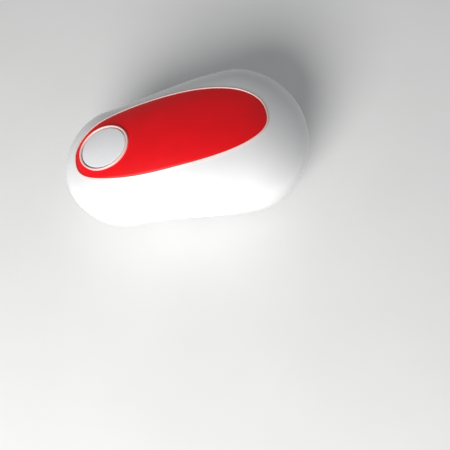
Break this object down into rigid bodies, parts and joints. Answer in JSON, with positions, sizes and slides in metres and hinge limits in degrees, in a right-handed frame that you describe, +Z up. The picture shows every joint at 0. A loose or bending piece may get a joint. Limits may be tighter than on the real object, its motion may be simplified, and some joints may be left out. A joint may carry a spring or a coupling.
{
  "type": "electric can opener",
  "caption": "Battery electric can opener: pear-shaped glossy case with an egg-shaped inlay and an oval push button, with its drive and cutting wheels underneath.",
  "frame": {"origin": "centre of the case's outline in plan, at the level of the underside of the wheels", "axes": "+X along the case towards the cutting head, +Z up out of the button side, +Y across"},
  "size_m": [0.126, 0.0772, 0.0564],
  "materials": {
    "white_abs": "gloss white ABS",
    "red_gloss": "gloss red inlay",
    "silver_button": "satin silver-white",
    "black_plastic": "matte black",
    "nylon": "natural nylon",
    "steel": "brushed",
    "bright_steel": "bright plated",
    "bronze": "sintered bronze",
    "cell_jacket": "plain printed jacket",
    "circuit": "green laminate"
  },
  "bodies": {
    "case": {"top_cover": "white_abs", "top_screw_bosses": "white_abs", "top_inlay": "red_gloss", "button_ring": "white_abs", "switch_body": "black_plastic", "circuit_board": "circuit", "switch_carrier": "nylon", "bottom_cover": "white_abs", "bottom_screw_bosses": "white_abs", "case_screws": "bright_steel", "battery_tray": "black_plastic", "battery_cells": "cell_jacket", "battery_springs": "bright_steel", "battery_contacts": "bright_steel", "head_ring": "white_abs", "head_plate": "steel", "head_plate_screws": "bright_steel", "magnet_holder": "black_plastic", "lid_magnet": "steel", "gearbox_base": "nylon", "gearbox_cover": "nylon", "gearbox_posts": "steel", "gearbox_screws": "bright_steel", "motor_can": "steel", "motor_end_cap": "black_plastic", "drive_bush": "bronze", "pivot_bush": "bronze", "cutter_spring": "bright_steel"},
    "button": {"button_cap": "silver_button", "button_spring": "bright_steel"},
    "plunger": {"switch_plunger": "nylon"},
    "door": {"battery_door": "white_abs", "door_latch": "white_abs"},
    "drive": {"output_gear": "steel", "drive_shaft": "bright_steel", "clamp_cam": "bronze", "drive_wheel": "steel", "drive_wheel_screw": "bright_steel"},
    "gear_three": {"third_gear": "steel", "third_gear_shaft": "bright_steel"},
    "gear_two": {"second_gear": "nylon", "second_gear_shaft": "bright_steel"},
    "gear_one": {"first_gear": "nylon", "first_gear_shaft": "bright_steel"},
    "motor_rotor": {"motor_shaft": "bright_steel", "motor_pinion": "bronze"},
    "cutter": {"cutter_pivot": "bright_steel", "cutter_lever": "steel", "follower_arm": "steel", "cutter_axle": "bright_steel"},
    "cutting_wheel": {"cutting_wheel": "bright_steel"}
  },
  "joints": [
    {"name": "button_press", "type": "slide", "parent": "case", "child": "button", "axis": [0.2504, 0, -0.9681], "range_m": [0, 0.0015], "stiffness_N_per_m": 400, "springref_m": -0.001, "deforming": ["button_spring"]},
    {"name": "switch_plunger_press", "type": "slide", "parent": "case", "child": "plunger", "axis": [0.2504, 0, -0.9681], "range_m": [0, 0.0015]},
    {"name": "battery_door_lift_off", "type": "slide", "parent": "case", "child": "door", "axis": [0, 0, -1], "range_m": [0, 0.02]},
    {"name": "drive_wheel_turn", "type": "hinge", "parent": "case", "child": "drive", "pos_m": [0.034, 0, 0.007], "axis": [0, 0, 1], "continuous": true},
    {"name": "third_gear_turn", "type": "hinge", "parent": "case", "child": "gear_three", "pos_m": [0.03321, -0.01758, 0.007], "axis": [0, 0, 1], "continuous": true},
    {"name": "second_gear_turn", "type": "hinge", "parent": "case", "child": "gear_two", "pos_m": [0.0185, -0.01079, 0.007], "axis": [0, 0, 1], "continuous": true},
    {"name": "first_gear_turn", "type": "hinge", "parent": "case", "child": "gear_one", "pos_m": [0.0185, 0.00541, 0.007], "axis": [0, 0, 1], "continuous": true},
    {"name": "motor_turn", "type": "hinge", "parent": "case", "child": "motor_rotor", "pos_m": [0.015, 0.02, 0.007], "axis": [0, 0, 1], "continuous": true},
    {"name": "cutter_swing", "type": "hinge", "parent": "case", "child": "cutter", "pos_m": [0.044, -0.0146, 0.007], "axis": [0, 0, -1], "range_deg": [0, 18], "stiffness_Nm_per_rad": 0.05, "springref_deg": -11.46},
    {"name": "cutting_wheel_turn", "type": "hinge", "parent": "cutter", "child": "cutting_wheel", "pos_m": [0.0502, 0, 0.007], "axis": [0, 0, 1], "continuous": true}
  ],
  "couplings": [
    {"joint": "switch_plunger_press", "follows": "button_press", "ratio": 1},
    {"joint": "third_gear_turn", "follows": "drive_wheel_turn", "ratio": -2.6667},
    {"joint": "second_gear_turn", "follows": "drive_wheel_turn", "ratio": 9.3333},
    {"joint": "first_gear_turn", "follows": "drive_wheel_turn", "ratio": -32.667},
    {"joint": "motor_turn", "follows": "drive_wheel_turn", "ratio": 130.67}
  ]
}
